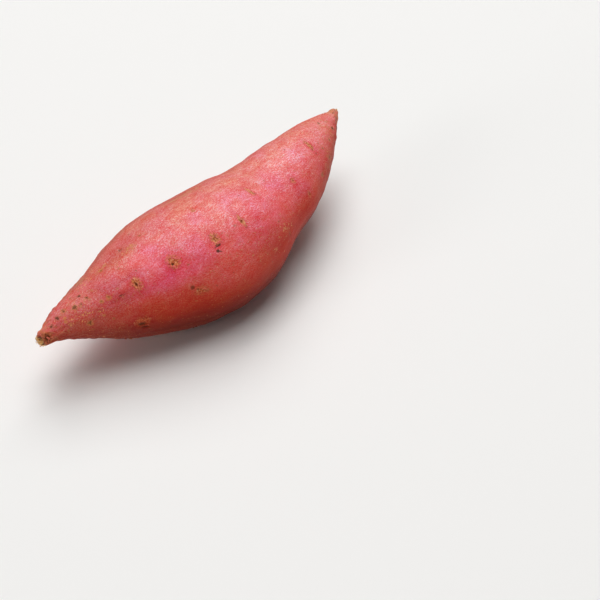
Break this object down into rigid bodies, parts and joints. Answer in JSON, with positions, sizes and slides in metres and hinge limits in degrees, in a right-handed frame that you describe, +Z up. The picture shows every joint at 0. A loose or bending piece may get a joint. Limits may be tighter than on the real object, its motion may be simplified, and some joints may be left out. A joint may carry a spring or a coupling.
{
  "type": "sweet potato",
  "caption": "Whole raw sweet potato with pink-red skin, a swollen middle, a slender neck at the stem end and a pointed root tip, lying on its belly.",
  "frame": {"origin": "middle of the root's box in X and Y, on the surface that the root rests on", "axes": "+X along the root from the stem end to the root tip, +Z up, +Y completes a right-handed frame; the middle of the root bows towards -Y"},
  "size_m": [0.205, 0.062, 0.0549],
  "materials": {
    "skin": "pink-red periderm with fine lengthwise fibres, tan russet specks and brown eyes, low sheen"
  },
  "bodies": {
    "root": {"sweet_potato": "skin"}
  },
  "joints": []
}
